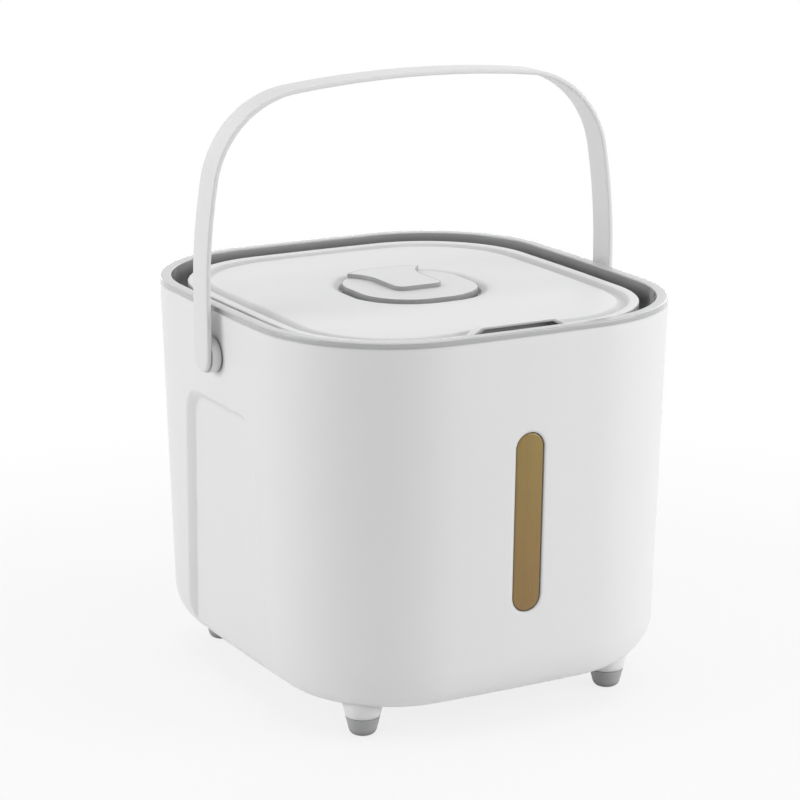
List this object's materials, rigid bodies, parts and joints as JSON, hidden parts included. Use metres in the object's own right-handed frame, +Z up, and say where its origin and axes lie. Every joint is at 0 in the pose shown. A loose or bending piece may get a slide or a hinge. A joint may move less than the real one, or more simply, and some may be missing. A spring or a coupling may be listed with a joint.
{
  "type": "grain storage container",
  "caption": "Rounded-square tapered grain bucket with a lift-off domed lid, swing handle, side finger recesses, front sight window and a lift-out desiccant cap.",
  "frame": {"origin": "floor level under the middle of the bucket, on the handle's plane", "axes": "+Z up, -Y towards the front wall with the sight window, +X to the right seen from the front"},
  "size_m": [0.2384, 0.246, 0.3166],
  "materials": {
    "white_plastic": "satin moulded",
    "grey_plastic": "fine matte",
    "grey_rubber": "soft matte",
    "amber_plastic": "smoked amber, clear",
    "seal_rubber": "soft",
    "clip_plastic": "fine matte",
    "cup_plastic": "satin"
  },
  "bodies": {
    "bucket": {"outer_shell": "white_plastic", "rim_collar": "grey_plastic", "window_lens": "amber_plastic", "front_left_foot": "grey_rubber", "front_right_foot": "grey_rubber", "rear_left_foot": "grey_rubber", "rear_right_foot": "grey_rubber"},
    "handle": {"handle": "white_plastic", "left_pivot_clip": "clip_plastic", "right_pivot_clip": "clip_plastic"},
    "lid": {"lid_cover": "white_plastic", "lid_base": "grey_plastic", "cap_neck": "grey_plastic", "lid_seal": "seal_rubber", "desiccant_cup": "cup_plastic"},
    "cap": {"cap_body": "grey_plastic", "cap_face": "white_plastic", "grip_face": "white_plastic", "cap_seal": "seal_rubber"}
  },
  "joints": [
    {"name": "handle_swing", "type": "hinge", "parent": "bucket", "child": "handle", "pos_m": [0, 0, 0.1815], "axis": [1, 0, 0], "range_deg": [-105, 105]},
    {"name": "lid_lift", "type": "slide", "parent": "bucket", "child": "lid", "axis": [0, 0, 1], "range_m": [0, 0.06]},
    {"name": "cap_lift", "type": "slide", "parent": "lid", "child": "cap", "axis": [0, 0, 1], "range_m": [0, 0.03]}
  ]
}
